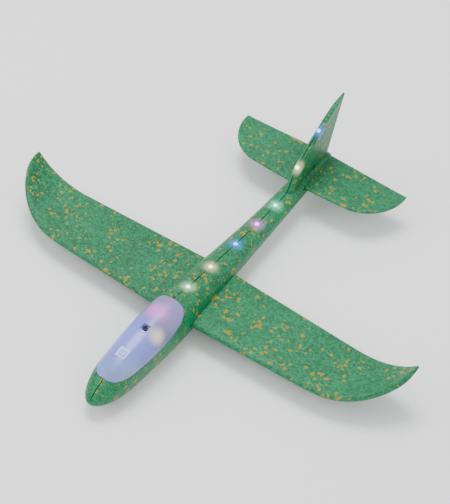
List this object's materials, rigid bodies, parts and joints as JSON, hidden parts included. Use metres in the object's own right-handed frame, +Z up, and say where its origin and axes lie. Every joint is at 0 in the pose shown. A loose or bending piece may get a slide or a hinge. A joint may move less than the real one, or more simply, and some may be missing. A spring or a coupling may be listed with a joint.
{
  "type": "toy airplane",
  "caption": "Hand-launched foam toy airplane with slide-in wing and tailplane, lit canopy and light string.",
  "frame": {"origin": "under the middle of the model, at belly height", "axes": "nose along -Y, span along X, +Z up"},
  "size_m": [0.4818, 0.45, 0.117],
  "materials": {
    "foam": "fine moulded beads, satin",
    "foam_wing": "fine moulded beads, satin",
    "foam_tail": "fine moulded beads, satin",
    "weight": "plain",
    "canopy": "milky translucent",
    "bezel": "satin",
    "button": "satin",
    "screw": "black",
    "tray": "matt",
    "board": "solder mask",
    "chip": "matt",
    "cell": "bright",
    "contact": "plated",
    "wire": "clear coat",
    "led_cyan": "lit lens",
    "led_blue": "lit lens",
    "led_warm": "lit lens",
    "led_magenta": "lit lens",
    "led_green": "lit lens"
  },
  "bodies": {
    "airframe": {"fuselage": "foam", "nose_weight": "weight", "electronics_tray": "tray", "circuit_board": "board", "light_controller": "chip", "switch_body": "chip", "cell_front": "cell", "cell_middle": "cell", "cell_rear": "cell", "contact_positive": "contact", "contact_negative": "contact", "cockpit_led_1": "led_cyan", "cockpit_led_2": "led_blue", "cockpit_led_3": "led_warm", "cockpit_led_4": "led_magenta", "back_led_1": "led_green", "back_led_2": "led_warm", "back_led_3": "led_blue", "back_led_4": "led_magenta", "back_led_5": "led_cyan", "fin_led_1": "led_warm", "fin_led_2": "led_blue", "nose_wire": "wire", "back_wire": "wire", "fin_wire": "wire"},
    "wing": {"wing": "foam_wing"},
    "tail": {"tailplane": "foam_tail"},
    "canopy": {"canopy": "canopy", "button_bezel": "bezel"},
    "button": {"push_button": "button"},
    "screw": {"battery_screw": "screw"}
  },
  "joints": [
    {"name": "wing_slide", "type": "slide", "parent": "airframe", "child": "wing", "axis": [1, 0, 0], "range_m": [-0.14, 0.14]},
    {"name": "tail_slide", "type": "slide", "parent": "airframe", "child": "tail", "axis": [1, 0, 0], "range_m": [-0.122, 0.122]},
    {"name": "canopy_lift", "type": "slide", "parent": "airframe", "child": "canopy", "axis": [0, 0, 1], "range_m": [0, 0.04]},
    {"name": "button_press", "type": "slide", "parent": "canopy", "child": "button", "axis": [0, 0.225, -0.9744], "range_m": [0, 0.0006], "stiffness_N_per_m": 300},
    {"name": "screw_turn", "type": "hinge", "parent": "canopy", "child": "screw", "pos_m": [0, -0.137, 0.048], "axis": [0, 0, 1], "continuous": true}
  ]
}
